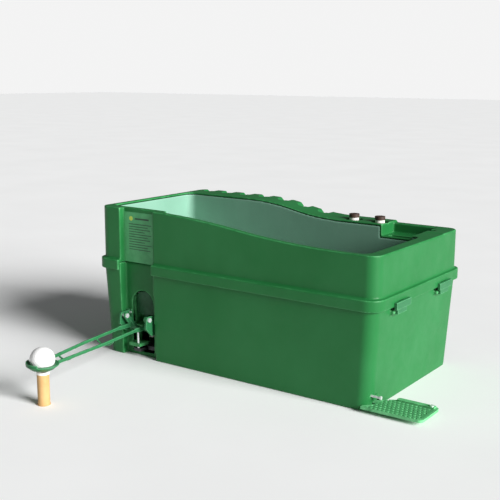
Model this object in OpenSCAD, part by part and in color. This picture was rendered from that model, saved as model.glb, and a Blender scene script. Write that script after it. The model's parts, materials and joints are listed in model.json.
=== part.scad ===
// Pedal-operated golf ball dispenser: a two-part moulded ball box, a ball outlet with
// gate and feed rocker, a pivoting delivery arm with a cup, and a long foot-pedal lever.
// Axes: +X along the box towards the pedal, -Y towards the arm side, +Z up.
// Origin: middle of the underside of the box. Units: millimetres.

/* [Box] */
// half length of the lower shell at the floor
low_a0 = 297.3; // [200:1:400]
// half length of the lower shell under the skirt
low_a1 = 308.2; // [200:1:420]
// half width of the lower shell at the floor
low_b0 = 165.1; // [120:1:240]
// half width of the lower shell under the skirt
low_b1 = 170.9; // [120:1:240]
// half length of the upper shell
up_a = 308.6; // [200:1:420]
// half width of the upper shell
up_b = 168.5; // [120:1:240]
// half length over the skirt band
band_a = 315; // [210:1:430]
// half width over the skirt band
band_b = 176.5; // [130:1:250]
// underside of the skirt band
band_z0 = 173.5; // [100:0.5:220]
// top of the skirt band
band_z1 = 194; // [110:0.5:240]
// high level of the rim
rim_hi = 297; // [240:1:360]
// low level of the rim
rim_lo = 267; // [220:1:340]
// outer corner radius
corner_r = 22; // [10:1:60]
// moulded wall thickness
wall = 3.5; // [2:0.5:6]

/* [Front channel] */
// left side of the channel
chan_x0 = -255.5; // [-290:0.5:-200]
// right side of the channel
chan_x1 = -171; // [-200:0.5:-120]
// back of the channel in the lower shell
chan_y_low = -152.5; // [-165:0.5:-140]
// back of the channel in the upper shell
chan_y_up = -156; // [-165:0.5:-145]
// middle of the ball outlet
arch_x = -213; // [-230:1:-190]
// width of the ball outlet
arch_w = 55; // [48:1:64]
// top of the ball outlet
arch_top = 132.6; // [110:1:150]
// sill of the ball outlet
arch_sill = 8; // [6:1:20]

/* [Hopper] */
// left side of the mouth
mouth_x0 = -297.5; // [-302:0.5:-250]
// right side of the mouth
mouth_x1 = 284; // [220:1:300]
// right side of the mouth beside the shelf
mouth_x2 = 268; // [200:1:290]
// front of the mouth
mouth_y0 = -157; // [-162:1:-120]
// front of the mouth behind the channel
mouth_y1 = -143; // [-150:1:-110]
// back of the mouth
mouth_y2 = 102; // [60:1:130]
// diameter of the hole the balls drop through
drop_d = 54; // [46:1:70]
// distance of that hole behind the middle line
drop_y = -92; // [-100:1:-60]

/* [Club rest] */
// number of club notches
notch_n = 7; // [0:1:10]
// middle of the first notch
notch_x0 = -282; // [-290:1:-200]
// distance between notches
notch_pitch = 50; // [40:1:60]
// width of a notch
notch_w = 16; // [12:1:24]
// depth of a notch from the back
notch_d = 28; // [14:1:40]

/* [Phone slot] */
// left end of the shelf
shelf_x0 = 178; // [150:1:220]
// height of the shelf
shelf_z = 249; // [235:1:262]
// width of the slot
slot_w = 14; // [10:1:20]
// depth of the slot
slot_d = 12; // [8:1:20]

/* [Arm] */
// height of the arm hinge
hinge_z = 84; // [70:1:100]
// distance of the arm hinge in front of the middle line
hinge_y = -175; // [-185:1:-165]
// middle of the arm hinge
hinge_x = -211; // [-220:1:-200]
// middle of the cup
cup_x = -168; // [-230:1:-140]
// distance of the cup in front of the middle line
cup_y = -455; // [-520:1:-380]
// height of the ball centre in the cup
ball_z = 80; // [60:1:110]
// ball diameter
ball_d = 42.67; // [42:0.01:43.5]

/* [Tee] */
// diameter of the tee tube
tee_d = 20.8; // [14:0.1:30]
// height of the tee
tee_h = 58.5; // [30:0.5:70]

/* [Pedal] */
// front edge of the pedal
pedal_y0 = -172; // [-190:1:-150]
// back edge of the pedal
pedal_y1 = -100; // [-130:1:-80]
// outer end of the pedal
pedal_x1 = 398; // [340:1:440]
// thickness of the pedal plate
pedal_t = 4.5; // [3:0.5:8]
// lever pivot position
pivot_x = -120; // [-180:1:60]
// lever pivot height
pivot_z = 17; // [14:1:30]

/* [Output] */
// draw one piece, or all of them

/* [Hidden] */
$fn = 96;
run_fit = 0.05;
ball_r = ball_d / 2;
low_h = band_z0 + 14;
up_z0 = low_h + 0.5;
green = [0.16, 0.42, 0.22];
green_light = [0.25, 0.52, 0.33];
tub_green = [0.38, 0.55, 0.45];
steel = [0.72, 0.73, 0.75];
chrome = [0.85, 0.86, 0.88];
tan_col = [0.85, 0.68, 0.42];
white = [0.94, 0.94, 0.93];
brown = [0.20, 0.12, 0.09];
rim_t = 4;
ledge_lo = rim_hi - 25;
back_xs = -137.5;
back_xe = 87.5;
back_r = ((back_xe - back_xs) * (back_xe - back_xs) + 25 * 25) / 100;
arc_fn = 1440;
lev_y0 = -145;
lev_y1 = -127;
lev_z0 = 12;
lev_z1 = 20;
cradle_r = 28.5;
cradle_z = 61;
bracket_t = 4.5;
screw_zs = [58, 86];
ear_in = 24.2;
ear_out = 28.6;
web_t = 3.6;
rod_x = -217;
rod_y = hinge_y + 12;
rod_r = 2;
arm_root_x = -222;
arm_root_y = -190;
arm_root_z = 64;
cup_rim_z = ball_z - 7.5;
arm_run = sqrt((cup_x - arm_root_x) * (cup_x - arm_root_x) + (cup_y - arm_root_y) * (cup_y - arm_root_y));
arm_yaw = asin((cup_x - arm_root_x) / arm_run);
arm_tilt = atan((cup_rim_z - arm_root_z) / arm_run);
gate_z = 126;
gate_y = -143;
rock_y = -118;
rock_z = 46;
chute_w = 50;
chute_z = 61;
chute_slope = 3.5;
chute_y0 = -148.7;
chute_y1 = -62;
latch_y = 88;
latch_w = 54;
latch_pz = 163;
latch_px = 311.5;

// ---------- helpers ----------

module box(x0, x1, y0, y1, z0, z1) {
  translate([x0, y0, z0]) cube([x1 - x0, y1 - y0, z1 - z0]);
}

module rrect(x0, x1, y0, y1, r) {
  translate([x0 + r, y0]) square([x1 - x0 - 2 * r, y1 - y0]);
  translate([x0, y0 + r]) square([x1 - x0, y1 - y0 - 2 * r]);
  for (x = [x0 + r, x1 - r])
    for (y = [y0 + r, y1 - r])
      translate([x, y]) circle(r);
}

module frustum(a0, a1, b0, b1, h) {
  intersection() {
    rotate([90, 0, 0])
      linear_extrude(height = 900, center = true)
        polygon([[-a0, 0], [a0, 0], [a1, h], [-a1, h]]);
    rotate([90, 0, 90])
      linear_extrude(height = 900, center = true)
        polygon([[-b0, 0], [b0, 0], [b1, h], [-b1, h]]);
  }
}

// box with drafted walls and round upright corners
module drafted(a0, a1, b0, b1, h, r) {
  gx = (a1 - a0) / h;
  gy = (b1 - b0) / h;
  rx = r * sqrt(1 + gx * gx);
  ry = r * sqrt(1 + gy * gy);
  lean = atan(sqrt(gx * gx + gy * gy));
  frustum(a0, a1, b0 - ry, b1 - ry, h);
  frustum(a0 - rx, a1 - rx, b0, b1, h);
  for (sx = [-1, 1])
    for (sy = [-1, 1])
      intersection() {
        translate([sx * (a0 - rx), sy * (b0 - ry), 0])
          rotate([0, lean, atan2(sy * gy, sx * gx)])
            rotate([0, 0, 180])
              translate([0, 0, -10])
                cylinder(r = r, h = h + 20);
        translate([-500, -500, 0]) cube([1000, 1000, h]);
      }
}

// area under an S-shaped edge falling from z_hi at xs to z_lo at xe, two equal arcs
// (a run that is a whole multiple of the fall gives the arcs an exact meeting point)
module under_s(xs, xe, z_hi, z_lo) {
  dx = xe - xs;
  dz = z_hi - z_lo;
  r = (dx * dx + dz * dz) / (4 * dz);
  xm = (xs + xe) / 2;
  zm = (z_hi + z_lo) / 2;
  translate([-500, 0]) square([500 + xs, z_hi]);
  intersection() {
    translate([xs, z_hi - r]) circle(r, $fn = arc_fn);
    translate([xs, 0]) square([xm - xs, z_hi]);
  }
  difference() {
    translate([xm, 0]) square([xe - xm, zm + 1]);
    translate([xe, z_lo + r]) circle(r, $fn = arc_fn);
  }
  translate([xe, 0]) square([500 - xe, z_lo]);
}

module along_y(y0, y1) {
  translate([0, y1, 0]) rotate([90, 0, 0]) linear_extrude(height = y1 - y0) children();
}

// everything under the rim surface, lowered by d
module rim_space(d) {
  translate([0, 0, -d]) {
    along_y(-400, mouth_y2 - 6) under_s(-205, 245, rim_hi, rim_lo);
    intersection() {
      along_y(mouth_y2 - 6, 400) under_s(back_xs, back_xe, rim_hi, ledge_lo);
      box(-500, shelf_x0, -400, 400, 0, 400);
    }
    box(shelf_x0, 400, mouth_y2 - 6, 400, 0, rim_lo + 1);
  }
}

module mouth(o) {
  rrect(mouth_x0 - o, mouth_x2 + o, mouth_y1 - o, mouth_y2 + o, 16 + o);
  rrect(-156 - o, mouth_x1 + o, mouth_y0 - o, 45 + o, 16 + o);
}

module arch(w, top, sill) {
  translate([arch_x - w / 2, sill]) square([w, top - w / 2 - sill]);
  translate([arch_x, top - w / 2]) circle(w / 2);
}

// height of the back rim at x
function back_rim(x) =
  x < back_xs ? rim_hi
  : x < (back_xs + back_xe) / 2 ? rim_hi - back_r + sqrt(back_r * back_r - (x - back_xs) * (x - back_xs))
  : x < back_xe ? ledge_lo + back_r - sqrt(back_r * back_r - (back_xe - x) * (back_xe - x))
  : ledge_lo;

module notches(w, d, z0, flare = 0) {
  for (i = [0 : notch_n - 1]) {
    x = notch_x0 + i * notch_pitch;
    box(x - w / 2, x + w / 2, up_b - d + w / 2, up_b + 20, z0, 320);
    translate([x, up_b - d + w / 2, z0]) cylinder(d = w, h = 320 - z0);
    if (flare > 0)
      for (e = [x - w / 2, x + w / 2])
        translate([e, up_b - d + w / 2 + 25, back_rim(e)]) rotate([0, 45, 0])
          cube([flare, 50, flare], center = true);
  }
}

// ---------- box ----------

module lower_body() {
  difference() {
    drafted(low_a0, low_a1, low_b0, low_b1, low_h, corner_r);
    translate([0, 0, 4])
      drafted(low_a0 - wall, low_a1 - wall, low_b0 - wall, low_b1 - wall, low_h, corner_r - wall);
  }
  // step behind the channel
  intersection() {
    drafted(low_a0, low_a1, low_b0, low_b1, low_h, corner_r);
    box(chan_x0 - wall, chan_x1 + wall, -200, chan_y_low + wall, 0, 200);
  }
}

module latch_knuckles(sx, sy) {
  for (s = [-1, 1])
    translate([0, sy * latch_y + s * (latch_w / 2 - 5), 0]) {
      translate([sx * latch_px, 4, latch_pz]) rotate([90, 0, 0]) cylinder(r = 3.4, h = 8);
      box(min(sx * 304.6, sx * latch_px), max(sx * 304.6, sx * latch_px), -4, 4,
        latch_pz - 3.4, latch_pz + 3.4);
    }
}

module lower_shell() {
  color(green)
    difference() {
      union() {
        lower_body();
        for (sx = [-1, 1])
          for (sy = [-1, 1])
            latch_knuckles(sx, sy);
      }
      box(chan_x0, chan_x1, -200, chan_y_low, -1, 200);
      translate([0, -140, 0]) rotate([90, 0, 0]) linear_extrude(height = 20)
        arch(arch_w, arch_top, arch_sill);
      // pedal opening, open at the floor
      box(258, 330, -149, -123, -1, 13);
      translate([280, -139, 24]) rotate([0, 90, 0]) cylinder(d = 4.6, h = 30);
      translate([285, -151, 25]) rotate([0, 90, 0]) cylinder(r = 2.2 + run_fit, h = 30);
      for (sx = [-1, 1])
        for (sy = [-1, 1])
          translate([sx * latch_px, sy * latch_y + 40, latch_pz])
            rotate([90, 0, 0]) cylinder(r = 1.5 + run_fit, h = 80);
      for (x = [-230, 0, 230])
        for (y = [-108, 130])
          translate([x, y, 1]) cylinder(r = 2 + run_fit, h = 10);
    }
}

module upper_outer(z0, o) {
  translate([0, 0, z0])
    linear_extrude(height = 330 - z0)
      rrect(-up_a + o, up_a - o, -up_b + o, up_b - o, corner_r - o);
}

module skirt_band() {
  difference() {
    translate([0, 0, band_z0])
      linear_extrude(height = band_z1 - band_z0)
        rrect(-band_a, band_a, -band_b, band_b, corner_r + 6);
    translate([0, 0, band_z0 - 1])
      linear_extrude(height = up_z0 - band_z0 + 1)
        rrect(-low_a1 - 0.8, low_a1 + 0.8, -low_b1 - 0.9, low_b1 + 0.9, corner_r + 0.3);
    translate([0, 0, band_z0])
      linear_extrude(height = 40)
        rrect(-up_a + wall, up_a - wall, -up_b + wall, up_b - wall, corner_r - wall);
  }
}

module upper_shell() {
  color(green)
    difference() {
      union() {
        // outer wall and rim
        difference() {
          intersection() {
            upper_outer(up_z0, 0);
            rim_space(0);
          }
          intersection() {
            upper_outer(up_z0 - 1, wall);
            rim_space(rim_t);
          }
        }
        skirt_band();
        // step behind the channel
        intersection() {
          upper_outer(up_z0, 0);
          rim_space(0);
          box(chan_x0 - wall, chan_x1 + wall, -200, chan_y_up + wall, 0, 400);
        }
        // walls of the club notches
        intersection() {
          upper_outer(up_z0, 0);
          rim_space(0);
          notches(notch_w + 6, notch_d + 3, 235);
        }
        // walls of the two tee wells
        for (x = [160, 103])
          intersection() {
            translate([x, 128, 262]) cylinder(d = 40, h = 40);
            rim_space(0);
          }
        // shelf, its end walls and the box of the phone slot
        intersection() {
          upper_outer(up_z0, wall / 2);
          rim_space(0);
          union() {
            box(shelf_x0 - 4, 300, mouth_y2 - 6, 160, shelf_z - 4, shelf_z);
            box(shelf_x0 - 4, shelf_x0, mouth_y2, 167, shelf_z - 4, 330);
            box(shelf_x0 - 4, mouth_x2 + 4, 152, 156, shelf_z - 4, 330);
            box(mouth_x2, mouth_x2 + 4, 50, 156, shelf_z - 4, 330);
            box(184, 282, 109, 129, shelf_z - slot_d - 4, shelf_z);
          }
        }
      }
      // channel
      box(chan_x0, chan_x1, -200, chan_y_up, 100, 400);
      // mouth
      translate([0, 0, 150]) linear_extrude(height = 200) mouth(0);
      // pocket over the shelf and the slot in it
      box(shelf_x0, mouth_x2, mouth_y2 - 7, 152, shelf_z, 330);
      box(187, 279, 112, 112 + slot_w, shelf_z - slot_d, 330);
      notches(notch_w, notch_d, 240, 8.4);
      for (x = [160, 103]) {
        translate([x, 128, 267]) cylinder(d = 34, h = 40);
        translate([x, 128, 255]) cylinder(d = 19 + 2 * run_fit, h = 40);
      }
      // catches for the four latches
      for (sx = [-1, 1])
        for (sy = [-1, 1])
          box(min(sx * (band_a - 3), sx * (band_a + 3)), max(sx * (band_a - 3), sx * (band_a + 3)),
            sy * latch_y - 13, sy * latch_y + 13, 176.5, 181);
    }
}

module tub_floor(t) {
  rotate([3, 0, 0])
    rotate([90, 0, 0])
      linear_extrude(height = 500, center = true)
        polygon([[-330, 148], [-246, 124], [-180, 124], [330, 160], [330, 160 - t],
          [-180, 124 - t], [-246, 124 - t], [-330, 148 - t]]);
}

module tub_above_floor() {
  rotate([3, 0, 0])
    rotate([90, 0, 0])
      linear_extrude(height = 500, center = true)
        polygon([[-330, 145], [-246, 121], [-180, 121], [330, 157], [330, 400], [-330, 400]]);
}

module hopper_tub() {
  bx0 = -250;
  bx1 = -176;
  color(tub_green)
    difference() {
      union() {
        intersection() {
          difference() {
            translate([0, 0, 90]) linear_extrude(height = 250) mouth(3);
            translate([0, 0, 80]) linear_extrude(height = 270) mouth(0);
          }
          tub_above_floor();
          union() {
            intersection() {
              rim_space(rim_t + 0.1);
              box(-400, shelf_x0 - 4.2, -400, 400, 0, 400);
            }
            intersection() {
              rim_space(rim_t + 0.1);
              box(shelf_x0 - 5, 400, -400, mouth_y2 - 6.2, 0, 400);
            }
            box(shelf_x0 - 5, 400, -400, 400, 0, shelf_z - 4.1);
          }
          box(-400, mouth_x2 - 0.2, -400, 400, 0, 400);
        }
        intersection() {
          difference() {
            translate([0, 0, 90]) linear_extrude(height = 250) mouth(3);
            translate([0, 0, 80]) linear_extrude(height = 270) mouth(0);
          }
          tub_above_floor();
          union() {
            intersection() {
              rim_space(rim_t + 0.1);
              box(mouth_x2 - 1, 400, -400, 49.5, 0, 400);
            }
            box(mouth_x2 - 1, 400, -400, 400, 0, shelf_z - 4.1);
          }
        }
        intersection() {
          tub_floor(3);
          translate([0, 0, 80]) linear_extrude(height = 150) mouth(3);
        }
        // cover over the outlet gate
        intersection() {
          box(bx0, bx1, mouth_y1 - 3, -121, 112, 141);
          translate([0, 0, 80]) linear_extrude(height = 150) mouth(3);
        }
      }
      box(bx0 + 3, bx1 - 3, -160, -124, 100, 138);
      translate([arch_x, drop_y, 90]) cylinder(d = drop_d, h = 60);
    }
}

module label_plate() {
  color(green_light)
    box(chan_x0 + 1.2, chan_x1 - 1.2, chan_y_up - 0.6, chan_y_up - 0.05, 190, 289);
}

module base_plate() {
  color(steel)
    difference() {
      box(-248, 255, -157, 146, 4.05, 7);
      for (x = [-230, 0, 230])
        for (y = [-108, 130])
          translate([x, y, 0]) cylinder(r = 2 + run_fit, h = 10);
      box(-262, -164, -160, -147, 0, 10);
    }
}

module base_screws() {
  color(steel)
    for (x = [-230, 0, 230])
      for (y = [-108, 130]) {
        translate([x, y, 1.2]) cylinder(r = 2, h = 6);
        translate([x, y, 7.05]) cylinder(r = 4.5, h = 2.6);
      }
}

// ---------- outlet ----------

module chute_frame() {
  translate([arch_x, chute_y0, chute_z]) rotate([chute_slope, 0, 0]) children();
}

module outlet_chute() {
  len = chute_y1 - chute_y0;
  ow = chute_w / 2 + 3;
  color(tub_green)
    difference() {
      union() {
        chute_frame() {
          box(-ow, ow, 0.3, len, -3, 0);
          for (s = [-1, 1])
            box(min(s * ow, s * (ow - 3)), max(s * ow, s * (ow - 3)), 3.6, len, -3, 47);
          box(-ow, ow, len - 3, len, -3, 47);
        }
        for (s = [-1, 1])
          box(min(arch_x + s * ow, arch_x + s * (ow - 3)), max(arch_x + s * ow, arch_x + s * (ow - 3)),
            chute_y0 + 2, -128, 100, 131);
        for (s = [-1, 1])
          box(min(arch_x + s * ow, arch_x + s * (ow - 3)), max(arch_x + s * ow, arch_x + s * (ow - 3)),
            rock_y - 9, rock_y + 9, 37, 61);
        // legs
        for (s = [-1, 1])
          box(min(arch_x + s * ow, arch_x + s * (ow - 3)), max(arch_x + s * ow, arch_x + s * (ow - 3)),
            -104, -68, 7.05, 63.3);
      }
      chute_frame() {
        box(-6, 6, -1, 16, -5, 5);
        box(-6, 6, 34, 58, -5, 5);
      }
      translate([arch_x - 40, gate_y, gate_z]) rotate([0, 90, 0]) cylinder(r = 2 + run_fit, h = 80);
      translate([arch_x - 40, rock_y, rock_z]) rotate([0, 90, 0]) cylinder(r = 2.5 + run_fit, h = 80);
    }
}

module gate_shaft() {
  color(steel)
    translate([arch_x - 30, gate_y, gate_z]) rotate([0, 90, 0]) cylinder(r = 2, h = 60);
}

module outlet_gate() {
  color(green)
    difference() {
      union() {
        intersection() {
          translate([0, gate_y + 4, 0]) rotate([90, 0, 0]) linear_extrude(height = 9)
            arch(48.6, gate_z + 4.5, 85);
          difference() {
            translate([arch_x, gate_y + 56, 60]) cylinder(r = 61, h = 90);
            translate([arch_x, gate_y + 56, 59]) cylinder(r = 58.2, h = 92);
          }
        }
        translate([arch_x - 13, gate_y, gate_z]) rotate([0, 90, 0]) cylinder(r = 4.2, h = 26);
      }
      translate([arch_x - 40, gate_y, gate_z]) rotate([0, 90, 0]) cylinder(r = 2 + run_fit, h = 80);
    }
}

module rocker_shaft() {
  color(steel)
    translate([arch_x - 30, rock_y, rock_z]) rotate([0, 90, 0]) cylinder(r = 2.5, h = 60);
}

module feed_rocker() {
  color(white)
    difference() {
      union() {
        translate([arch_x - 4, rock_y, rock_z]) rotate([0, 90, 0]) cylinder(r = 8, h = 8);
        translate([arch_x - 4, 0, 0])
          rotate([90, 0, 90])
            linear_extrude(height = 8)
              polygon([[rock_y, rock_z - 5], [rock_y + 23, rock_z + 4], [rock_y + 23, rock_z + 15],
                [rock_y + 18, rock_z + 15], [rock_y + 18, rock_z + 9], [rock_y, rock_z + 6],
                [rock_y - 18, rock_z + 13], [rock_y - 18, rock_z + 26], [rock_y - 23, rock_z + 26],
                [rock_y - 23, rock_z + 8]]);
        translate([arch_x - 4, 0, 0])
          rotate([90, 0, 90])
            linear_extrude(height = 8)
              polygon([[rock_y - 5, rock_z], [rock_y - 12, rock_z - 13], [rock_y - 7, rock_z - 15],
                [rock_y + 4, rock_z]]);
      }
      translate([arch_x - 20, rock_y, rock_z]) rotate([0, 90, 0])
        cylinder(r = 2.5 + run_fit, h = 40);
    }
}

module rod_guide() {
  color(green)
    difference() {
      union() {
        box(-236, -228, -148, -141, 22, 57.4);
        box(-236, -209, rod_y - 6, -141, 22, 28);
      }
      translate([rod_x, rod_y, 10]) cylinder(r = rod_r + run_fit, h = 30);
    }
}

module push_rod() {
  color(chrome)
    translate([rod_x, rod_y, 18.2]) cylinder(r = rod_r, h = 32);
}

function plate_in(side) = side > 0 ? 29 : 34.6;

function flange_x(side) = side > 0 ? hinge_x + 36.35 : hinge_x - 32.1;

module hinge_bracket(side) {
  // side -1 is the left one, +1 the right one
  ex0 = hinge_x + side * plate_in(side);
  ex1 = ex0 + side * bracket_t;
  fx0 = side > 0 ? ex0 : arch_x - arch_w / 2 - 0.2;
  fx1 = side > 0 ? chan_x1 - 0.8 : chan_x0 + 0.8;
  color(green)
    difference() {
      union() {
        translate([min(ex0, ex1), 0, 0])
          rotate([90, 0, 90])
            linear_extrude(height = bracket_t)
              union() {
                translate([hinge_y, hinge_z]) circle(6.2);
                polygon([[chan_y_low - 0.05, 50], [chan_y_low - 0.05, 90], [hinge_y, hinge_z + 6.2],
                  [hinge_y - 6.2, hinge_z], [hinge_y - 9, 68], [hinge_y + 8, 50]]);
              }
        box(min(fx0, fx1), max(fx0, fx1), chan_y_low - 3, chan_y_low - 0.05, 50, 92);
      }
      translate([hinge_x - 60, hinge_y, hinge_z]) rotate([0, 90, 0])
        cylinder(r = 3 + run_fit, h = 120);
      for (z = screw_zs)
        translate([flange_x(side), chan_y_low + 1, z]) rotate([90, 0, 0])
          cylinder(r = 1.3 + run_fit, h = 10);
    }
}

module hinge_bracket_left() { hinge_bracket(-1); }

module hinge_bracket_right() { hinge_bracket(1); }

module hinge_bolt(side) {
  x0 = hinge_x + side * (ear_in - (side > 0 ? 0 : 0.6));
  x1 = hinge_x + side * (plate_in(side) + bracket_t + 0.2);
  head = side > 0 ? x1 : hinge_x - ear_in + 0.05;
  color(chrome) {
    translate([min(x0, x1), hinge_y, hinge_z]) rotate([0, 90, 0]) cylinder(r = 3, h = abs(x1 - x0));
    translate([head, hinge_y, hinge_z]) rotate([0, 90, 0]) cylinder(r = 4.6, h = side > 0 ? 3 : 1.9);
  }
}

module hinge_bolt_left() { hinge_bolt(-1); }

module hinge_bolt_right() { hinge_bolt(1); }

module bracket_screws() {
  color(chrome)
    for (side = [-1, 1])
      for (z = screw_zs) {
        translate([flange_x(side), chan_y_low - 0.1, z]) rotate([90, 0, 0]) cylinder(r = 1.3, h = 3);
        translate([flange_x(side), chan_y_low - 3.05, z]) rotate([90, 0, 0])
          cylinder(r = 2.2, h = 1.9);
      }
}

// ---------- arm ----------

module arm_frame() {
  translate([arm_root_x, arm_root_y, arm_root_z])
    rotate([0, 0, arm_yaw])
      rotate([-arm_tilt, 0, 0])
        children();
}

module cross_bar(y, half) {
  // bar that dips under the rolling ball
  translate([0, y + 1.6, 0])
    rotate([90, 0, 0])
      linear_extrude(height = 3.2)
        intersection() {
          difference() {
            translate([0, 8]) circle(half + 6.5);
            translate([0, 8]) circle(half + 4);
          }
          translate([-half - 1, -20]) square([2 * half + 2, 19]);
        }
}

// upright web between two points of the plan
module web(x0, y0, x1, y1) {
  dx = x1 - x0;
  dy = y1 - y0;
  linear_extrude(height = 90) {
    translate([x0, y0]) rotate([0, 0, atan2(dy, dx)]) translate([0, -web_t / 2])
      square([sqrt(dx * dx + dy * dy), web_t]);
    for (p = [[x0, y0], [x1, y1]]) translate(p) circle(web_t / 2);
  }
}

module cup_cone(gap) {
  // outside of the cup, grown by gap
  z0 = cup_rim_z - 8.3;
  translate([cup_x, cup_y, 0])
    rotate_extrude()
      polygon([[0, z0 - 6], [19.6 + gap, z0 - 6], [19.6 + gap, z0 - 0.4], [28 + gap, cup_rim_z - 1.8],
        [28 + gap, cup_rim_z + 10], [0, cup_rim_z + 10]]);
}

module delivery_arm() {
  rail_l = arm_run - 18;
  color(green_light)
    difference() {
      union() {
        // cradle the ball rolls over, ears on the hinge and webs down to the rails
        difference() {
          union() {
            box(hinge_x - ear_out, hinge_x + ear_out, -166, -158, 57, 74);
            for (s = [-1, 1])
              translate([min(hinge_x + s * ear_in, hinge_x + s * ear_out), 0, 0])
                rotate([90, 0, 90])
                  linear_extrude(height = ear_out - ear_in)
                    union() {
                      translate([hinge_y, hinge_z]) circle(5.8);
                      polygon([[hinge_y - 5.8, hinge_z], [hinge_y + 5.8, hinge_z], [-158, 75.5],
                        [-158, 60], [-166, 60], [-171, 68], [-178, 78]]);
                    }
            intersection() {
              union() {
                web(hinge_x + 14, -162.5, arm_root_x + 18.5, arm_root_y + 2.8);
                web(hinge_x - 25.2, -162.5, arm_root_x - 18.5, arm_root_y - 4.8);
              }
              rotate([90, 0, 90])
                linear_extrude(height = 900, center = true)
                  polygon([[-161, 58.2], [-161, 66], [-176, 66], [-187, 65.4], [-202, 64.4],
                    [-202, 58.6], [-190, 57.6]]);
            }
          }
          translate([hinge_x, -150, cradle_z + cradle_r]) rotate([90, 0, 0])
            cylinder(r = cradle_r, h = 16.4);
        }
        // lug over the push rod
        box(rod_x - 4.5, rod_x + 4.5, rod_y - 3, rod_y + 3, 50.6, 60.2);
        arm_frame() {
          for (s = [-1, 1])
            translate([0, 0, -5.8])
              linear_extrude(height = 5.8)
                polygon([[s * 17.6, 6], [s * 20.6, 6], [s * 20.6, -115], [s * 13.4, -rail_l],
                  [s * 10.4, -rail_l], [s * 17.6, -115]]);
          cross_bar(-78, 17.8);
          cross_bar(-205, 13.4);
          cross_bar(-226, 12);
        }
      }
      cup_cone(0.05);
      translate([hinge_x - 60, hinge_y, hinge_z]) rotate([0, 90, 0])
        cylinder(r = 3 + run_fit, h = 120);
    }
}

module arm_cup() {
  z0 = cup_rim_z - 8.3;
  color(green)
    translate([cup_x, cup_y, 0]) {
      rotate_extrude()
        polygon([[16.2, z0], [19.6, z0 - 0.4], [28, cup_rim_z - 1.8], [28, cup_rim_z],
          [21, cup_rim_z], [20.2, cup_rim_z - 1.6]]);
      rotate([0, 0, 196])
        rotate_extrude(angle = 104)
          polygon([[25.6, cup_rim_z - 1], [28, cup_rim_z - 1], [28, cup_rim_z + 4],
            [26.4, cup_rim_z + 4]]);
    }
}

module golf_ball() {
  color(white) translate([cup_x, cup_y, ball_z]) sphere(r = ball_r);
}

module tee_tube() {
  color(tan_col)
    translate([cup_x, cup_y, 0])
      difference() {
        union() {
          cylinder(d = tee_d, h = tee_h - 4);
          cylinder(d = tee_d + 1.6, h = 2);
        }
        translate([0, 0, 6]) cylinder(d = tee_d - 6, h = 80);
      }
}

module tee_collar() {
  color(white)
    translate([cup_x, cup_y, tee_h - 3.95])
      difference() {
        cylinder(d = tee_d + 1.2, h = 3.95);
        translate([0, 0, -1]) cylinder(d = tee_d - 6, h = 10);
      }
}

// ---------- pedal and lever ----------

module pedal_lever() {
  color(steel)
    difference() {
      union() {
        box(-226, 262, lev_y0, lev_y1, lev_z0, lev_z1);
        box(-226, -208, rod_y - 3, lev_y1, lev_z0, lev_z1 - 2);
        translate([pivot_x, lev_y1, pivot_z]) rotate([90, 0, 0]) cylinder(r = 9, h = lev_y1 - lev_y0);
        box(258, 284, lev_y0, lev_y1, 11.4, lev_z1);
      }
      translate([pivot_x, -100, pivot_z]) rotate([90, 0, 0]) cylinder(r = 4 + run_fit, h = 60);
      translate([275, (lev_y0 + lev_y1) / 2, 0]) cylinder(r = 2 + run_fit, h = 40);
    }
}

module pedal_plate() {
  z0 = 6.4;
  z1 = z0 + pedal_t;
  color(green_light)
    difference() {
      union() {
        difference() {
          translate([0, 0, z0])
            linear_extrude(height = pedal_t)
              union() {
                rrect(322, pedal_x1, pedal_y0, pedal_y1, 8);
                polygon([[287, pedal_y0], [340, pedal_y0], [340, -108], [322, -108], [299, -122],
                  [287, -122]]);
              }
          // tread
          for (i = [0 : 11])
            for (j = [0 : 5])
              translate([299 + i * 7.8 + (j % 2) * 3.9, pedal_y0 + 5.6 + j * 9.8, z1 - 0.5])
                rotate([0, 0, 45])
                  cube([4.4, 4.4, 2.4], center = true);
          // clear of the box wall
          translate([0, 0, -0.6])
            drafted(low_a0 + 1.6, low_a1 + 1.6, low_b0 + 1.6, low_b1 + 1.6, low_h, corner_r + 1.6);
        }
        // tongue through the wall
        box(264, 304, lev_y0 + 0.5, lev_y1 - 0.5, z0, z1);
        // smooth raised strip
        box(329, pedal_x1 - 6, pedal_y1 - 12, pedal_y1 - 0.8, z0, z1 + 2.2);
        translate([329, pedal_y1 - 6.4, z0]) cylinder(d = 11.2, h = pedal_t + 2.2);
      }
      box(200, 284.2, lev_y0 - 1, lev_y1 + 1, 11.35, 30);
      translate([275, (lev_y0 + lev_y1) / 2, 0]) cylinder(r = 2 + run_fit, h = 40);
      translate([pedal_x1 - 12, pedal_y1 - 6.4, 7.4]) cylinder(r = 2 + run_fit, h = 40);
    }
}

module pedal_bolt() {
  color(chrome) {
    translate([275, (lev_y0 + lev_y1) / 2, 6.6]) cylinder(r = 2, h = 13.5);
    translate([275, (lev_y0 + lev_y1) / 2, lev_z1 + 0.05]) cylinder(r = 4.2, h = 2.6);
  }
}

module pedal_end_screw() {
  color(chrome) {
    translate([pedal_x1 - 12, pedal_y1 - 6.4, 7.6]) cylinder(r = 2, h = 6);
    translate([pedal_x1 - 12, pedal_y1 - 6.4, 6.4 + pedal_t + 2.25]) cylinder(r = 3.6, h = 1.8);
  }
}

module stop_bolt() {
  color(chrome) {
    translate([288, -151, 25]) rotate([0, 90, 0]) cylinder(r = 2.2, h = 26);
    translate([312.5, -151, 25]) rotate([0, 90, 0]) cylinder(r = 3.4, h = 2.6);
  }
}

module pivot_shaft() {
  color(steel)
    translate([pivot_x, -114, pivot_z]) rotate([90, 0, 0]) cylinder(r = 4, h = 44);
}

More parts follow.
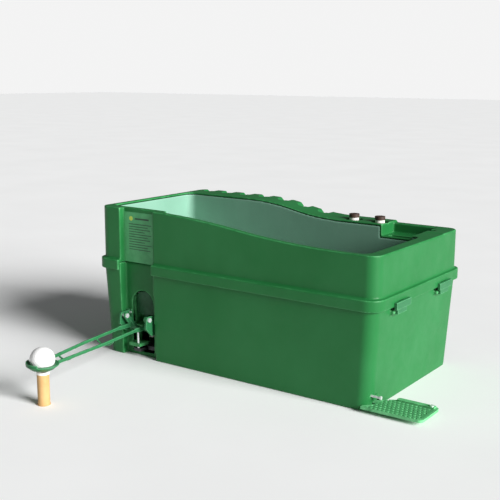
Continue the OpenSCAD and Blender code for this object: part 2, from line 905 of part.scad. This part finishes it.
module pivot_cheek(y0) {
  color(steel)
    difference() {
      union() {
        box(pivot_x - 12, pivot_x + 12, y0, y0 + 4, 7.05, pivot_z);
        translate([pivot_x, y0 + 4, pivot_z]) rotate([90, 0, 0]) cylinder(r = 9.5, h = 4);
        box(pivot_x - 20, pivot_x + 20, y0, y0 + 4, 7.05, 10);
      }
      translate([pivot_x, y0 + 20, pivot_z]) rotate([90, 0, 0]) cylinder(r = 4 + run_fit, h = 40);
    }
}

module pivot_cheek_front() {
  difference() {
    pivot_cheek(-153);
    box(-200, -100, -160, -152.9, 0, 7);
  }
}

module pivot_cheek_back() { pivot_cheek(-123); }

module spring_hanger() {
  color(steel)
    difference() {
      union() {
        box(222, 238, -162.8, -130, 58, 61);
        box(222, 238, -162.8, -160.4, 58, 84);
      }
      translate([230, -136, 50]) cylinder(r = 1.6, h = 20);
    }
}

module return_spring() {
  turns = 8;
  r = 5.5;
  w = 0.8;
  z0 = 20.95;
  pitch = 4.52;
  tilt = atan(pitch / 2 / (2 * r));
  color(steel)
    translate([230, -136, 0]) {
      for (i = [0 : 2 * turns - 1])
        translate([0, 0, z0 + (i + 0.5) * pitch / 2])
          rotate([0, (i % 2 == 0 ? 1 : -1) * tilt, 0])
            rotate([0, 0, i % 2 == 0 ? 0 : 180])
              rotate_extrude(angle = 180) translate([r / cos(tilt), 0]) circle(w, $fn = 24);
      for (i = [0 : 2 * turns])
        translate([i % 2 == 0 ? r : -r, 0, z0 + i * pitch / 2]) sphere(w * 1.02, $fn = 24);
    }
}

// ---------- latches and tees ----------

module latch(sx, sy) {
  hw = latch_w / 2 - 9.6;
  color(green_light)
    translate([0, sy * latch_y, 0])
      difference() {
        union() {
          translate([sx * latch_px, hw, latch_pz]) rotate([90, 0, 0]) cylinder(r = 3.4, h = 2 * hw);
          box(min(sx * 311.5, sx * 317.6), max(sx * 311.5, sx * 317.6), -hw, hw,
            latch_pz - 3.4, latch_pz + 3.4);
          box(min(sx * 315.4, sx * 317.6), max(sx * 315.4, sx * 317.6), -hw, hw, latch_pz, 174);
          box(min(sx * 315.5, sx * 320.5), max(sx * 315.5, sx * 320.5), -latch_w / 2, latch_w / 2,
            169, 181.5);
          box(min(sx * 313.4, sx * 316), max(sx * 313.4, sx * 316), -12, 12, 177.3, 179.6);
        }
        translate([sx * latch_px, 40, latch_pz]) rotate([90, 0, 0])
          cylinder(r = 1.5 + run_fit, h = 80);
      }
}

module latch_front_right() { latch(1, -1); }

module latch_back_right() { latch(1, 1); }

module latch_front_left() { latch(-1, -1); }

module latch_back_left() { latch(-1, 1); }

module latch_pins() {
  color(steel)
    for (sx = [-1, 1])
      for (sy = [-1, 1])
        translate([sx * latch_px, sy * latch_y + latch_w / 2 - 1.2, latch_pz])
          rotate([90, 0, 0]) cylinder(r = 1.5, h = latch_w - 2.4);
}

module tee_post(x) {
  color(white)
    translate([x, 128, 255.05])
      difference() {
        cylinder(d = 19, h = 20.5);
        translate([0, 0, 4]) cylinder(d = 10.2, h = 30);
      }
}

module tee_post_1() { tee_post(160); }

module tee_post_2() { tee_post(103); }

module spare_tee(x) {
  color(brown)
    translate([x, 128, 0]) {
      translate([0, 0, 275.6]) cylinder(d = 20.5, h = 7);
      translate([0, 0, 260]) cylinder(d = 10, h = 16);
    }
}

module spare_tee_1() { spare_tee(160); }

module spare_tee_2() { spare_tee(103); }

lower_shell();
upper_shell();
hopper_tub();
label_plate();
base_plate();
base_screws();
outlet_chute();
gate_shaft();
outlet_gate();
rocker_shaft();
feed_rocker();
rod_guide();
push_rod();
hinge_bracket_left();
hinge_bracket_right();
hinge_bolt_left();
hinge_bolt_right();
bracket_screws();
delivery_arm();
arm_cup();
golf_ball();
tee_tube();
tee_collar();
pedal_lever();
pedal_plate();
pedal_bolt();
pedal_end_screw();
stop_bolt();
pivot_shaft();
pivot_cheek_front();
pivot_cheek_back();
spring_hanger();
return_spring();
latch_front_right();
latch_back_right();
latch_front_left();
latch_back_left();
latch_pins();
tee_post_1();
tee_post_2();
spare_tee_1();
spare_tee_2();
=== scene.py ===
"""Looks of the golf ball dispenser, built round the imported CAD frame. Metres, same frame as the CAD."""

import json
import math

import bmesh
import bpy
from mathutils import Matrix, Vector, kdtree

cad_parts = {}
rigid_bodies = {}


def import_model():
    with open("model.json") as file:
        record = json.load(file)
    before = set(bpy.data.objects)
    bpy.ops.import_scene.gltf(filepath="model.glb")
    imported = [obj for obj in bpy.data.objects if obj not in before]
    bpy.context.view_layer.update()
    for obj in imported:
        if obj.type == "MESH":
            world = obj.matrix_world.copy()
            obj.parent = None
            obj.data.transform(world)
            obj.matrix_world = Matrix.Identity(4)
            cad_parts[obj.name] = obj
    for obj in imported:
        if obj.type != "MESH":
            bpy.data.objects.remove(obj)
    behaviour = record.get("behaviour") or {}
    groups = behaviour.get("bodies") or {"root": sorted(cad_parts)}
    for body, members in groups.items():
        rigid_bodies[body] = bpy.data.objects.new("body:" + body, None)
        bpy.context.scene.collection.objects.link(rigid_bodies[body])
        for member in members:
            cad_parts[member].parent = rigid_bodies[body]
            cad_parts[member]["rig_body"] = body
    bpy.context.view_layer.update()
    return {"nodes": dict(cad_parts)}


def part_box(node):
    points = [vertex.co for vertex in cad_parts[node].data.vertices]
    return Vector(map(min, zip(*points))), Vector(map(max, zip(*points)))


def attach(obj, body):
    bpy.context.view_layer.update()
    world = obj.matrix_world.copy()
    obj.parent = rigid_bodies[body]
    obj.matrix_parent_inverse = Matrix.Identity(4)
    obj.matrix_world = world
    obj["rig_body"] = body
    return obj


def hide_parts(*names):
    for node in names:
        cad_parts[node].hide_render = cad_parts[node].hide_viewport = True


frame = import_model()
NODES = frame["nodes"]
MM = 0.001


# ---------- camera, light and floor ----------

CAMERA_AT = Vector((0.9517, -1.4345, 0.5519))
CAMERA_YAW = 0.61485
CAMERA_PITCH = 0.19268
CAMERA_ROLL = 0.00502
CAMERA_LENS = 64.38

AMBIENT = 0.12      # light from the surroundings
BACKDROP = 0.90     # brightness of the surroundings where the camera sees them
KEY = 6.6
KEY_AZIMUTH, KEY_ELEVATION, KEY_SOFTNESS = 6, 22, 30
FLOOR_REACH = 20.0
FLOOR_GAP = 0.0002  # the floor lies this far under the object


def make_camera():
    data = bpy.data.cameras.new("camera")
    data.sensor_width = 36.0
    data.lens = CAMERA_LENS
    data.clip_start, data.clip_end = 0.05, 50.0
    camera = bpy.data.objects.new("camera", data)
    bpy.context.scene.collection.objects.link(camera)
    turn = Matrix.Rotation(CAMERA_YAW, 4, "Z")
    tip = Matrix.Rotation(math.pi / 2 - CAMERA_PITCH, 4, "X")
    roll = Matrix.Rotation(CAMERA_ROLL, 4, "Z")
    camera.matrix_world = Matrix.Translation(CAMERA_AT) @ turn @ tip @ roll
    bpy.context.scene.camera = camera


def sun_light(name, azimuth, elevation, strength, softness):
    """Soft distant light; azimuth is turned from +X, away from the back of the box."""
    data = bpy.data.lights.new(name, "SUN")
    data.energy = strength
    data.angle = math.radians(softness)
    lamp = bpy.data.objects.new(name, data)
    turn, rise = math.radians(azimuth), math.radians(elevation)
    level = math.cos(rise)
    toward = Vector((math.cos(turn) * level, -math.sin(turn) * level, math.sin(rise)))
    lamp.rotation_euler = toward.to_track_quat("Z", "Y").to_euler()
    bpy.context.scene.collection.objects.link(lamp)


def make_light():
    scene = bpy.context.scene
    scene.view_settings.view_transform = "Standard"
    world = bpy.data.worlds.new("studio")
    world.use_nodes = True
    tree = world.node_tree
    ambient = tree.nodes["Background"]
    ambient.inputs["Color"].default_value = (0.97, 1.0, 1.0, 1.0)
    ambient.inputs["Strength"].default_value = AMBIENT
    seen = tree.nodes.new("ShaderNodeBackground")
    seen.inputs["Color"].default_value = (1.0, 1.0, 1.0, 1.0)
    seen.inputs["Strength"].default_value = BACKDROP
    path = tree.nodes.new("ShaderNodeLightPath")
    pick = tree.nodes.new("ShaderNodeMixShader")
    tree.links.new(path.outputs["Is Camera Ray"], pick.inputs["Fac"])
    tree.links.new(ambient.outputs["Background"], pick.inputs[1])
    tree.links.new(seen.outputs["Background"], pick.inputs[2])
    tree.links.new(pick.outputs["Shader"], tree.nodes["World Output"].inputs["Surface"])
    scene.world = world
    sun_light("key", KEY_AZIMUTH, KEY_ELEVATION, KEY, KEY_SOFTNESS)


def make_floor():
    mesh = bpy.data.meshes.new("floor")
    form = bmesh.new()
    bmesh.ops.create_grid(form, x_segments=8, y_segments=8, size=FLOOR_REACH)
    form.to_mesh(mesh)
    form.free()
    floor = bpy.data.objects.new("floor", mesh)
    floor.location.z = -FLOOR_GAP
    bpy.context.scene.collection.objects.link(floor)
    mesh.materials.append(floor_paper())


# ---------- material helpers ----------

class Nodes:
    """Short names for building one material's node tree."""

    def __init__(self, name):
        self.material = bpy.data.materials.new(name)
        self.material.use_nodes = True
        self.tree = self.material.node_tree
        self.shader = self.tree.nodes["Principled BSDF"]
        self.place = self.add("ShaderNodeTexCoord").outputs["Object"]

    def add(self, kind, **settings):
        node = self.tree.nodes.new(kind)
        for key, value in settings.items():
            setattr(node, key, value)
        return node

    def link(self, source, target):
        self.tree.links.new(source, target)

    def set(self, **values):
        for key, value in values.items():
            self.shader.inputs[key.replace("_", " ")].default_value = value

    def stretched(self, scale):
        node = self.add("ShaderNodeMapping")
        node.inputs["Scale"].default_value = scale
        self.link(self.place, node.inputs["Vector"])
        return node.outputs["Vector"]

    def noise(self, scale, detail=3.0, rough=0.5, place=None):
        node = self.add("ShaderNodeTexNoise")
        node.inputs["Scale"].default_value = scale
        node.inputs["Detail"].default_value = detail
        node.inputs["Roughness"].default_value = rough
        self.link(place or self.place, node.inputs["Vector"])
        return node.outputs["Fac"]

    def cells(self, scale):
        node = self.add("ShaderNodeTexVoronoi", feature="F1")
        node.inputs["Scale"].default_value = scale
        self.link(self.place, node.inputs["Vector"])
        return node.outputs["Distance"]

    def fit(self, value, low, high, out_low=0.0, out_high=1.0):
        node = self.add("ShaderNodeMapRange")
        for key, number in zip(("From Min", "From Max", "To Min", "To Max"), (low, high, out_low, out_high)):
            node.inputs[key].default_value = number
        self.link(value, node.inputs["Value"])
        return node.outputs["Result"]

    def math(self, kind, first, second):
        node = self.add("ShaderNodeMath", operation=kind)
        for value, port in ((first, node.inputs[0]), (second, node.inputs[1])):
            if isinstance(value, (int, float)):
                port.default_value = value
            else:
                self.link(value, port)
        return node.outputs["Value"]

    def mix(self, share, first, second):
        node = self.add("ShaderNodeMix", data_type="RGBA")
        if isinstance(share, (int, float)):
            node.inputs[0].default_value = share
        else:
            self.link(share, node.inputs[0])
        for value, port in ((first, node.inputs[6]), (second, node.inputs[7])):
            if isinstance(value, tuple):
                port.default_value = (*value, 1.0)
            else:
                self.link(value, port)
        return node.outputs[2]

    def bump(self, height, strength, distance, after=None):
        node = self.add("ShaderNodeBump")
        node.inputs["Strength"].default_value = strength
        node.inputs["Distance"].default_value = distance
        self.link(height, node.inputs["Height"])
        if after is not None:
            self.link(after, node.inputs["Normal"])
        return node.outputs["Normal"]

    def edges(self, radius):
        """0 on open faces, up to 1 where the surface turns sharply or forms a ridge."""
        bevel = self.add("ShaderNodeBevel", samples=6)
        bevel.inputs["Radius"].default_value = radius
        geometry = self.add("ShaderNodeNewGeometry")
        dot = self.add("ShaderNodeVectorMath", operation="DOT_PRODUCT")
        self.link(bevel.outputs["Normal"], dot.inputs[0])
        self.link(geometry.outputs["Normal"], dot.inputs[1])
        sharp = self.fit(dot.outputs["Value"], 0.995, 0.90)
        ridge = self.fit(geometry.outputs["Pointiness"], 0.515, 0.56)
        return self.math("MAXIMUM", sharp, ridge)

    def finish(self, colour, roughness, normal=None):
        self.link(colour, self.shader.inputs["Base Color"])
        self.link(roughness, self.shader.inputs["Roughness"])
        if normal is not None:
            self.link(normal, self.shader.inputs["Normal"])
        return self.material


# ---------- materials ----------

def darker(colour, share):
    return tuple(share * part for part in colour)


def paler(colour, gain, lift):
    return tuple(min(1.0, gain * part + lift) for part in colour)


def moulded_plastic(name, deep, light, rough=0.42, grain=1500.0, grain_depth=0.00010, edge=0.7):
    """Satin moulded plastic: pebbled skin, cloudy pigment, faint scuffs, and paler edges that are partly wear
    and partly a painted highlight.
    """
    n = Nodes(name)
    cloud = n.fit(n.noise(7.0, 4.0, 0.6), 0.35, 0.65)
    flow = n.fit(n.noise(26.0, 3.0, 0.55, n.stretched((1.0, 1.0, 0.35))), 0.4, 0.62)
    colour = n.mix(n.math("MULTIPLY", cloud, 0.55), deep, light)
    colour = n.mix(n.math("MULTIPLY", flow, 0.16), colour, darker(deep, 0.82))
    scuff = n.fit(n.noise(210.0, 5.0, 0.7, n.stretched((0.25, 0.25, 1.0))), 0.66, 0.74)
    colour = n.mix(n.math("MULTIPLY", scuff, 0.10), colour, paler(light, 1.9, 0.03))
    # paler edges and ridges: a painted highlight along them, partly edge wear too; edge sets how strong
    wear_and_edge_highlight = n.math("MULTIPLY", n.edges(0.0025), n.fit(n.noise(60.0, 4.0, 0.6), 0.25, 0.6))
    colour = n.mix(n.math("MULTIPLY", wear_and_edge_highlight, edge), colour, paler(light, 2.0, 0.06))
    gloss = n.fit(n.noise(38.0, 4.0, 0.6), 0.3, 0.7, rough - 0.06, rough + 0.08)
    gloss = n.math("ADD", gloss, n.math("MULTIPLY", scuff, 0.08))
    pebble = n.bump(n.cells(grain), 0.35, grain_depth)
    normal = n.bump(n.noise(grain * 0.16, 3.0, 0.5), 0.16, 0.0006, pebble)
    n.set(IOR=1.32, Coat_Weight=0.0)
    return n.finish(colour, gloss, normal)


def smooth_plastic(name, colour_a, colour_b, rough=0.3):
    n = Nodes(name)
    colour = n.mix(n.fit(n.noise(30.0, 3.0), 0.35, 0.65), colour_a, colour_b)
    dirt = n.fit(n.noise(160.0, 5.0, 0.65), 0.6, 0.8)
    colour = n.mix(n.math("MULTIPLY", dirt, 0.12), colour, darker(colour_a, 0.6))
    gloss = n.fit(n.noise(90.0, 3.0), 0.3, 0.7, rough - 0.05, rough + 0.08)
    normal = n.bump(n.noise(420.0, 3.0), 0.12, 0.0002)
    n.set(IOR=1.48)
    return n.finish(colour, gloss, normal)


def metal(name, tint, rough, brushed=(1.0, 1.0, 1.0), tarnish=0.12, metallic=1.0):
    n = Nodes(name)
    streak = n.fit(n.noise(900.0, 3.0, 0.6, n.stretched(brushed)), 0.3, 0.7)
    spots = n.fit(n.noise(140.0, 4.0, 0.6), 0.55, 0.75)
    colour = n.mix(n.math("MULTIPLY", spots, tarnish), tint, darker(tint, 0.45))
    gloss = n.fit(streak, 0.0, 1.0, rough - 0.05, rough + 0.07)
    gloss = n.math("ADD", gloss, n.math("MULTIPLY", spots, 0.12))
    normal = n.bump(streak, 0.10, 0.00005)
    n.set(Metallic=metallic)
    return n.finish(colour, gloss, normal)


def soft_rubber(name, colour_a, colour_b, rough=0.62):
    n = Nodes(name)
    colour = n.mix(n.fit(n.noise(45.0, 5.0, 0.6), 0.3, 0.7), colour_a, colour_b)
    flow = n.fit(n.noise(120.0, 3.0, 0.6, n.stretched((1.0, 1.0, 0.12))), 0.45, 0.7)
    colour = n.mix(n.math("MULTIPLY", flow, 0.25), colour, darker(colour_a, 0.72))
    gloss = n.fit(n.noise(200.0, 3.0), 0.3, 0.7, rough - 0.06, rough + 0.08)
    normal = n.bump(n.noise(1400.0, 2.0), 0.25, 0.0001)
    n.set(IOR=1.45)
    return n.finish(colour, gloss, normal)


def floor_paper():
    n = Nodes("floor_paper")
    colour = n.mix(n.fit(n.noise(3.0, 4.0), 0.3, 0.7), (0.91, 0.91, 0.91), (0.94, 0.94, 0.94))
    n.set(IOR=1.2)
    gloss = n.fit(n.noise(60.0, 3.0), 0.3, 0.7, 0.93, 0.97)
    return n.finish(colour, gloss, n.bump(n.noise(500.0, 2.0), 0.05, 0.0002))


GREEN_DEEP, GREEN_LIGHT = (0.013, 0.152, 0.036), (0.024, 0.186, 0.054)
ARM_DEEP, ARM_LIGHT = (0.020, 0.145, 0.052), (0.034, 0.180, 0.070)
PEDAL_DEEP, PEDAL_LIGHT = (0.060, 0.280, 0.105), (0.090, 0.350, 0.140)
TUB_DEEP, TUB_LIGHT = (0.190, 0.375, 0.275), (0.235, 0.435, 0.330)
LABEL_DEEP, LABEL_LIGHT = (0.060, 0.290, 0.110), (0.085, 0.340, 0.140)

shell_green = moulded_plastic("shell_green", GREEN_DEEP, GREEN_LIGHT)
inner_green = moulded_plastic("inner_green", TUB_DEEP, TUB_LIGHT, rough=0.55, edge=0.2)
arm_green = moulded_plastic("arm_green", ARM_DEEP, ARM_LIGHT, rough=0.34, grain=2600.0, grain_depth=0.00005)
pedal_green = moulded_plastic("pedal_green", PEDAL_DEEP, PEDAL_LIGHT, rough=0.36, grain=2600.0, edge=0.6)
latch_green = moulded_plastic("latch_green", ARM_DEEP, ARM_LIGHT, rough=0.38, edge=0.8)
# gate flap: its green, much darker than the shell's, is painted shade for the shaded arch it sits in
gate_green = moulded_plastic("gate_green", (0.006, 0.060, 0.020), (0.011, 0.080, 0.030), edge=0.3)
label_green = moulded_plastic("label_green", LABEL_DEEP, LABEL_LIGHT, rough=0.38, edge=0.2)
label_ink = smooth_plastic("label_ink", (0.012, 0.060, 0.028), (0.020, 0.085, 0.040), rough=0.4)
label_mark = smooth_plastic("label_mark", (0.42, 0.58, 0.06), (0.50, 0.66, 0.10), rough=0.4)
ivory_plastic = smooth_plastic("ivory_plastic", (0.78, 0.76, 0.70), (0.84, 0.83, 0.78))
bright_chrome = metal("bright_chrome", (0.88, 0.89, 0.91), 0.22, metallic=0.55)
# steel for the mechanism inside the box and under the pedal: its near-black colour is painted shade for the
# dark interior
shade_dark_steel = metal("shade_dark_steel", (0.085, 0.088, 0.092), 0.48, brushed=(0.05, 1.0, 1.0), tarnish=0.4)
ball_white = smooth_plastic("ball_white", (0.80, 0.80, 0.79), (0.84, 0.84, 0.83), rough=0.24)
zinc_steel = metal("zinc_steel", (0.56, 0.57, 0.58), 0.34, brushed=(0.05, 1.0, 1.0), tarnish=0.3)
tee_tan = soft_rubber("tee_tan", (0.52, 0.30, 0.11), (0.62, 0.38, 0.16))
brown_rubber = soft_rubber("brown_rubber", (0.045, 0.024, 0.018), (0.075, 0.042, 0.030), rough=0.5)


# ---------- the finish of each CAD node ----------

def dress(name, material):
    node = NODES[name]
    node.data.materials.clear()
    node.data.materials.append(material)


FINISHES = {
    "lower_shell": shell_green, "upper_shell": shell_green, "hopper_tub": inner_green,
    "label_plate": label_green, "base_plate": shade_dark_steel, "base_screws": zinc_steel,
    "outlet_chute": shell_green, "gate_shaft": zinc_steel, "outlet_gate": gate_green,
    "rocker_shaft": zinc_steel, "feed_rocker": ivory_plastic, "rod_guide": shell_green,
    "push_rod": bright_chrome, "hinge_bracket_left": arm_green, "hinge_bracket_right": arm_green,
    "hinge_bolt_left": bright_chrome, "hinge_bolt_right": bright_chrome, "bracket_screws": bright_chrome,
    "delivery_arm": arm_green, "arm_cup": arm_green, "golf_ball": ball_white, "tee_tube": tee_tan,
    "tee_collar": ivory_plastic, "pedal_lever": shade_dark_steel, "pedal_plate": pedal_green,
    "pedal_bolt": bright_chrome, "pedal_end_screw": bright_chrome, "stop_bolt": bright_chrome,
    "pivot_shaft": zinc_steel, "pivot_cheek_front": shade_dark_steel, "pivot_cheek_back": shade_dark_steel,
    "spring_hanger": zinc_steel, "return_spring": zinc_steel, "latch_front_right": latch_green,
    "latch_back_right": latch_green, "latch_front_left": latch_green, "latch_back_left": latch_green,
    "latch_pins": zinc_steel, "tee_post_1": ivory_plastic, "tee_post_2": ivory_plastic,
    "spare_tee_1": brown_rubber, "spare_tee_2": brown_rubber,
}

for node_name, finish in FINISHES.items():
    dress(node_name, finish)


# ---------- moulded skins: CAD nodes with their edges rounded off ----------

def body_of(name):
    return NODES[name]["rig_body"]


def new_object(name, mesh, material):
    piece = bpy.data.objects.new(name, mesh)
    bpy.context.scene.collection.objects.link(piece)
    mesh.materials.clear()
    mesh.materials.append(material)
    return piece


def settle(piece):
    """Apply the piece's modifiers and return its new mesh."""
    graph = bpy.context.evaluated_depsgraph_get()
    done = bpy.data.meshes.new_from_object(piece.evaluated_get(graph))
    piece.modifiers.clear()
    piece.data = done
    return done


def moulded(name, voxel, passes, keep):
    """Skin in place of a CAD node: voxel mm fine, its edges rounded by smoothing passes."""
    piece = new_object(name + "_skin", NODES[name].data.copy(), FINISHES[name])
    remesh = piece.modifiers.new("remesh", "REMESH")
    remesh.mode = "VOXEL"
    remesh.voxel_size = voxel * MM
    remesh.adaptivity = 0.0
    smooth = piece.modifiers.new("smooth", "SMOOTH")
    smooth.factor = 0.5
    smooth.iterations = passes
    piece.modifiers.new("thin_out", "DECIMATE").ratio = keep
    mesh = settle(piece)
    for polygon in mesh.polygons:
        polygon.use_smooth = True
    mesh.materials.clear()
    mesh.materials.append(FINISHES[name])
    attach(piece, body_of(name))
    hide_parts(name)


# node, voxel in mm, smoothing passes, share of the triangles kept
SKINS = (
    ("upper_shell", 1.5, 6, 0.3),
    ("lower_shell", 1.8, 4, 0.25),
    ("hopper_tub", 1.8, 4, 0.3),
    ("delivery_arm", 0.6, 3, 0.5),
    ("arm_cup", 0.5, 3, 0.5),
    ("hinge_bracket_left", 0.4, 3, 0.5),
    ("hinge_bracket_right", 0.4, 3, 0.5),
    ("latch_front_right", 0.4, 3, 0.5),
    ("latch_back_right", 0.4, 3, 0.5),
    ("latch_front_left", 0.4, 3, 0.5),
    ("latch_back_left", 0.4, 3, 0.5),
)

for skin_name, voxel_mm, smoothing, share_kept in SKINS:
    moulded(skin_name, voxel_mm, smoothing, share_kept)


# ---------- golf ball with its dimples ----------

DIMPLES = 336
DIMPLE_R = 1.75 * MM
DIMPLE_DEPTH = 0.26 * MM


def spread_points(count):
    """Unit vectors spread evenly over a sphere by the golden angle."""
    golden = math.pi * (3.0 - math.sqrt(5.0))
    points = []
    for index in range(count):
        z = 1.0 - (2.0 * index + 1.0) / count
        reach = math.sqrt(1.0 - z * z)
        points.append(Vector((reach * math.cos(golden * index), reach * math.sin(golden * index), z)))
    return points


def make_ball():
    low, high = (Vector(corner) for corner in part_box("golf_ball"))
    centre, radius = (low + high) / 2, (high.z - low.z) / 2
    tree = kdtree.KDTree(DIMPLES)
    for index, point in enumerate(spread_points(DIMPLES)):
        tree.insert(point, index)
    tree.balance()
    form = bmesh.new()
    bmesh.ops.create_icosphere(form, subdivisions=6, radius=1.0)
    for vert in form.verts:
        away = tree.find(vert.co)[2] * radius / DIMPLE_R
        sink = DIMPLE_DEPTH * (1.0 - away * away) if away < 1.0 else 0.0
        vert.co = centre + vert.co.normalized() * (radius - sink)
    for face in form.faces:
        face.smooth = True
    mesh = bpy.data.meshes.new("golf_ball_dimpled")
    form.to_mesh(mesh)
    form.free()
    piece = new_object("golf_ball_dimpled", mesh, ball_white)
    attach(piece, body_of("golf_ball"))
    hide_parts("golf_ball")


# ---------- generic print on the label plate ----------

PRINT_DEPTH = 0.12 * MM
LINE_H = 1.5 * MM
LINE_STEP = 5.0 * MM
LINE_COUNT = 11
MARK_R = 4.5 * MM


def raised_print(form, left, right, bottom, top, face_y):
    """Thin bar standing on the plate's front face."""
    size = Vector((right - left, PRINT_DEPTH, top - bottom))
    middle = Vector(((left + right) / 2, face_y - PRINT_DEPTH / 2, (bottom + top) / 2))
    made = bmesh.ops.create_cube(form, size=1.0)
    bmesh.ops.scale(form, vec=size, verts=made["verts"])
    bmesh.ops.translate(form, vec=middle, verts=made["verts"])


def make_label():
    """Plain bars in place of writing, and a plain round mark."""
    low, high = (Vector(corner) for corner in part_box("label_plate"))
    form = bmesh.new()
    margin = 12 * MM
    left, right = low.x + margin, high.x - margin
    head = high.z - 14 * MM
    raised_print(form, left + 16 * MM, right - 6 * MM, head, head + 2.2 * LINE_H, low.y)
    for row in range(LINE_COUNT):
        z = head - (row + 2) * LINE_STEP
        short = (0.0, 9.0, 3.0, 17.0)[row % 4] * MM
        raised_print(form, left, right - short, z, z + LINE_H, low.y)
    mesh = bpy.data.meshes.new("label_bars")
    form.to_mesh(mesh)
    form.free()
    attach(new_object("label_bars", mesh, label_ink), "box")
    form = bmesh.new()
    spin = Matrix.Rotation(math.pi / 2, 4, "X")
    bmesh.ops.create_cone(form, cap_ends=True, segments=48, radius1=MARK_R, radius2=MARK_R, depth=PRINT_DEPTH)
    place = Vector((left + 6 * MM, low.y - PRINT_DEPTH / 2, head + LINE_H))
    bmesh.ops.transform(form, matrix=Matrix.Translation(place) @ spin, verts=form.verts)
    mesh = bpy.data.meshes.new("label_mark")
    form.to_mesh(mesh)
    form.free()
    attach(new_object("label_mark", mesh, label_mark), "box")


make_ball()
make_label()
make_camera()
make_light()
make_floor()
